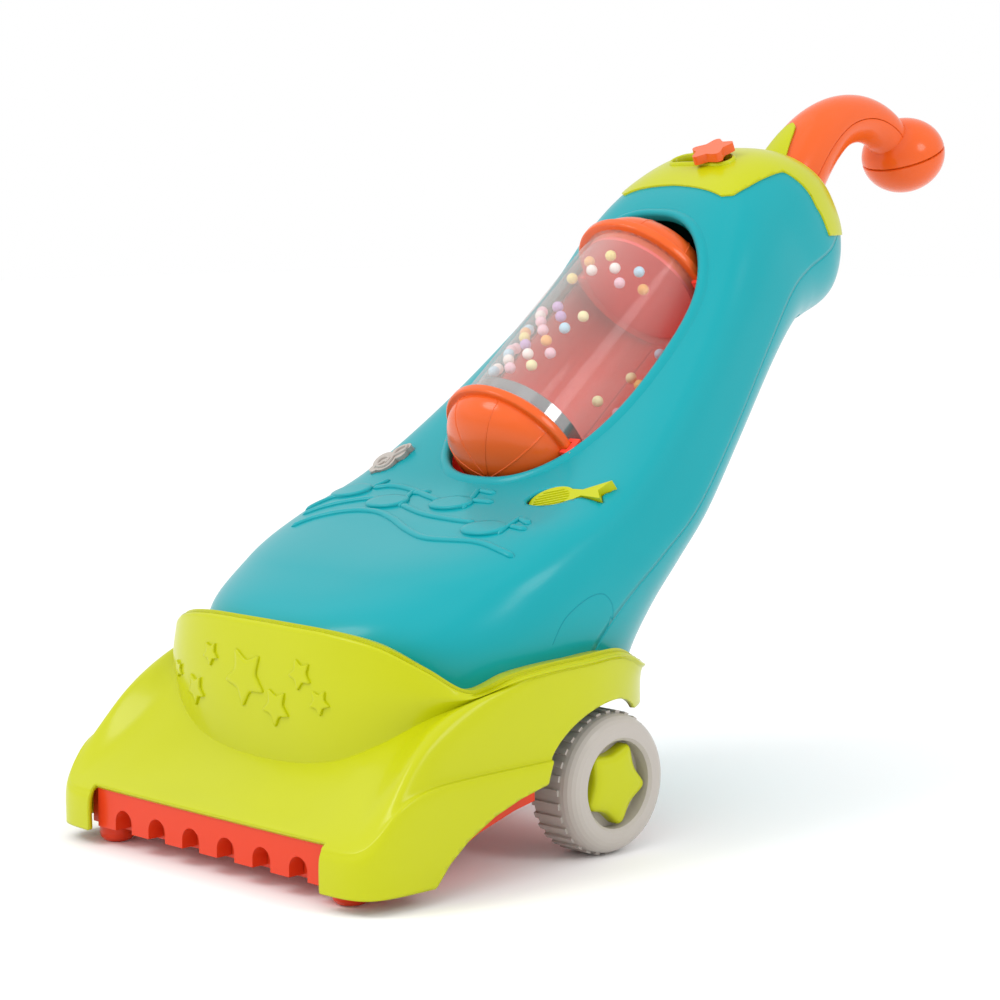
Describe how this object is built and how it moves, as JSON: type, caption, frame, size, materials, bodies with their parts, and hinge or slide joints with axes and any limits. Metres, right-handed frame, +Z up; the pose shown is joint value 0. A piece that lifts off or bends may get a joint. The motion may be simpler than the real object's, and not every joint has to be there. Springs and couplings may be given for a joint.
{
  "type": "toy vacuum cleaner",
  "caption": "Push-along toy upright vacuum with a lime head, teal body, turning clear bead drum, orange bent handle with knob, grey wheels, slide star and push buttons.",
  "frame": {"origin": "centre of the bounding box on the floor under the toy", "axes": "+Z up, the front of the head faces -Y, the toy is mirror-symmetric in shape about X = 0"},
  "size_m": [0.238, 0.5725, 0.3799],
  "materials": {
    "lime_plastic": "glossy lime moulded plastic",
    "teal_plastic": "glossy teal moulded plastic",
    "orange_plastic": "glossy orange moulded plastic",
    "red_orange_plastic": "satin red-orange plastic",
    "red_plastic": "glossy red plastic",
    "pearl_plastic": "pearl grey plastic",
    "clear_plastic": "clear polished plastic",
    "chrome_trim": "mirror foil",
    "pink_plastic": "translucent pink-red plastic",
    "bead_plastic": "glossy mixed pastel beads",
    "steel": "plain zinc-plated steel",
    "dark_plastic": "black moulded plastic",
    "board": "green circuit board",
    "cell": "wrapped metal cells"
  },
  "bodies": {
    "toy": {"head_shell": "lime_plastic", "chassis": "red_orange_plastic", "front_comb": "red_orange_plastic", "front_glides": "red_orange_plastic", "nose_weight": "steel", "weight_screws": "steel", "chassis_screws": "steel", "rear_axle": "steel", "axle_push_nuts": "steel", "base_plate": "teal_plastic", "base_screws": "steel", "body_front_shell": "teal_plastic", "body_rear_shell": "teal_plastic", "body_screws": "steel", "drum_liner": "red_plastic", "control_board": "board", "key_switches": "dark_plastic", "board_screws": "steel", "top_cap": "lime_plastic", "slide_switch": "dark_plastic", "battery_tray": "dark_plastic", "batteries": "cell", "battery_contacts": "steel", "battery_door": "teal_plastic", "battery_door_screw": "steel", "speaker": "dark_plastic", "speaker_clamp": "dark_plastic", "handle_upper": "orange_plastic", "handle_lower": "orange_plastic", "handle_screws": "steel", "handle_pin": "steel", "knob_upper": "orange_plastic", "knob_lower": "orange_plastic"},
    "wheel_left": {"wheel_left": "pearl_plastic", "hub_star_left": "lime_plastic"},
    "wheel_right": {"wheel_right": "pearl_plastic", "hub_star_right": "lime_plastic"},
    "drum": {"drum_tube": "clear_plastic", "drum_bottom_cap": "orange_plastic", "drum_top_cap": "orange_plastic", "drum_ring": "chrome_trim", "drum_end_plate": "pink_plastic", "drum_beads": "bead_plastic"},
    "star_switch": {"star_knob": "orange_plastic", "slide_carriage": "red_orange_plastic"},
    "clef_button": {"clef_button": "pearl_plastic"},
    "note_button": {"note_button": "lime_plastic"}
  },
  "joints": [
    {"name": "wheel_left_spin", "type": "hinge", "parent": "toy", "child": "wheel_left", "pos_m": [0, -0.115, 0.036], "axis": [1, 0, 0], "continuous": true},
    {"name": "wheel_right_spin", "type": "hinge", "parent": "toy", "child": "wheel_right", "pos_m": [0, -0.115, 0.036], "axis": [1, 0, 0], "continuous": true},
    {"name": "drum_spin", "type": "hinge", "parent": "toy", "child": "drum", "pos_m": [0, -0.0717, 0.1926], "axis": [0, 0.7716, 0.6361], "continuous": true},
    {"name": "star_switch_slide", "type": "slide", "parent": "toy", "child": "star_switch", "axis": [1, 0, 0], "range_m": [-0.0236, 0.0056]},
    {"name": "clef_button_press", "type": "slide", "parent": "toy", "child": "clef_button", "axis": [0, 0.6361, -0.7716], "range_m": [0, 0.0025], "stiffness_N_per_m": 400},
    {"name": "note_button_press", "type": "slide", "parent": "toy", "child": "note_button", "axis": [0, 0.6361, -0.7716], "range_m": [0, 0.0025], "stiffness_N_per_m": 400}
  ]
}
